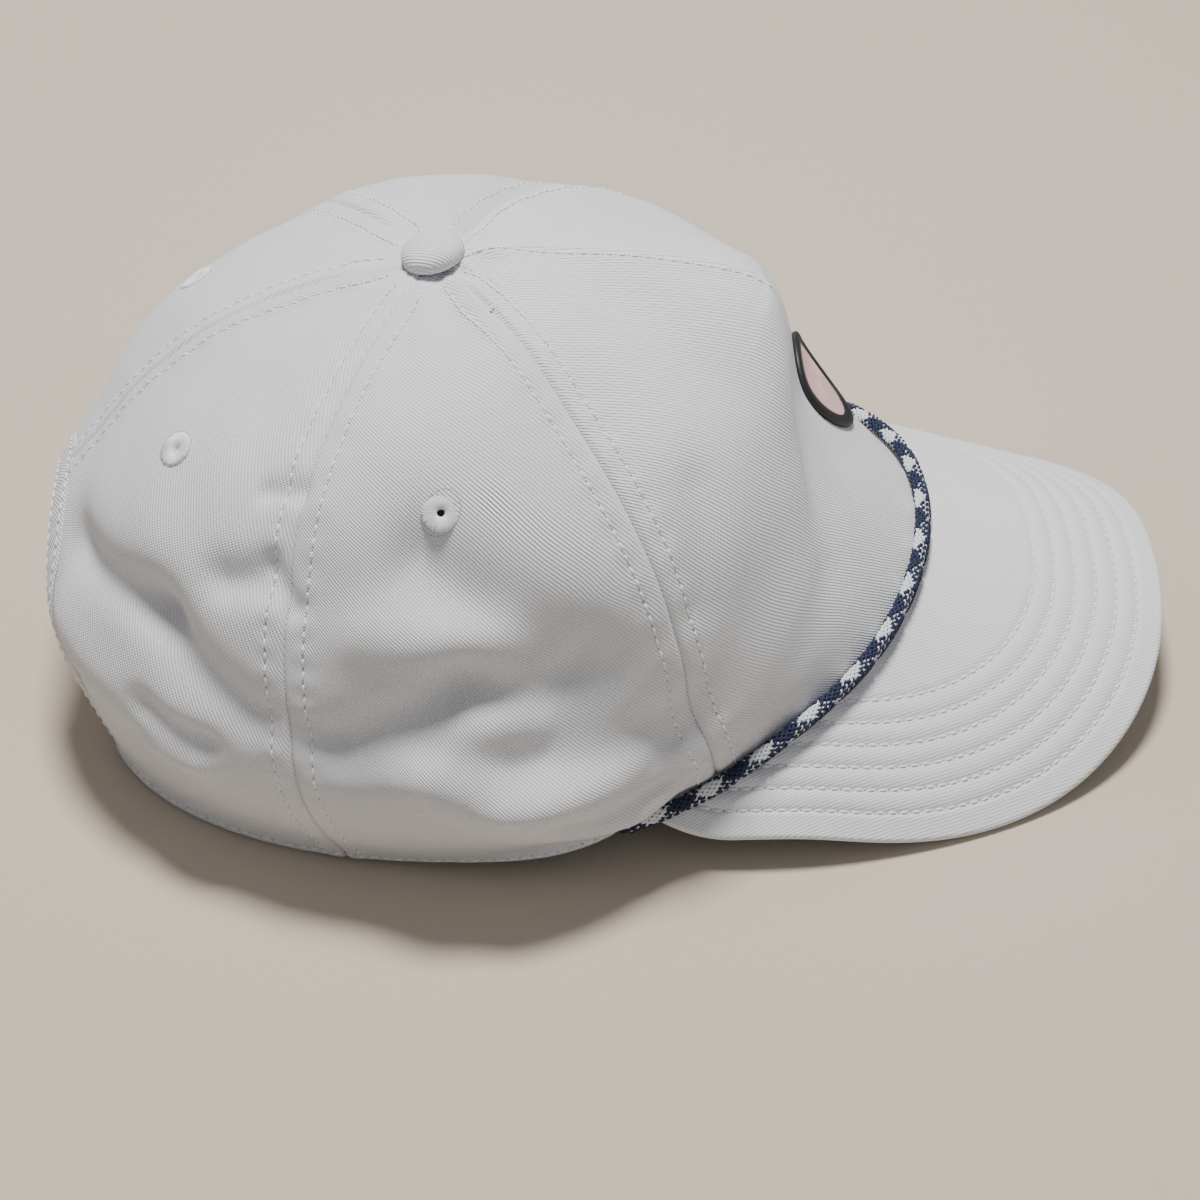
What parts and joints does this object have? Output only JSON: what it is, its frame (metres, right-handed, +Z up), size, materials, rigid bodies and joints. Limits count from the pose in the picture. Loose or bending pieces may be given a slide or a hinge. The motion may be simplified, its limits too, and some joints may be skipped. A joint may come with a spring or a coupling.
{
  "type": "snapback cap",
  "caption": "White cotton snapback cap: hollow sewn panel crown, curved peak with a braided rope along its join, covered button and an arched back opening with a plastic strap.",
  "frame": {"origin": "middle of the underside of the cap's bounding box, on the surface that it rests on", "axes": "+Z up; the peak points along -Y, the back opening faces +Y, and the wearer's right is -X"},
  "size_m": [0.201, 0.2728, 0.1205],
  "materials": {
    "crown_twill": "white cotton twill, matt",
    "peak_twill": "white cotton twill over a board, rows of stitching",
    "binding_twill": "white cotton twill, folded and double stitched",
    "button_twill": "white cotton twill pulled over a metal button",
    "eyelet_thread": "white satin stitching",
    "rope_braid": "navy and white braided cord",
    "sweatband_cotton": "white cotton, matt",
    "strap_plastic": "white moulded plastic, satin",
    "badge_embroidery": "pale pink and black satin stitching"
  },
  "bodies": {
    "root": {"front_panel": "crown_twill", "side_panel_right": "crown_twill", "side_panel_left": "crown_twill", "back_panel_right": "crown_twill", "back_panel_left": "crown_twill", "arch_binding": "binding_twill", "snap_strap": "strap_plastic", "sweatband": "sweatband_cotton", "brim": "peak_twill", "rope": "rope_braid", "button": "button_twill", "eyelet_side_right": "eyelet_thread", "eyelet_side_left": "eyelet_thread", "eyelet_back_right": "eyelet_thread", "eyelet_back_left": "eyelet_thread", "front_badge": "badge_embroidery"}
  },
  "joints": []
}
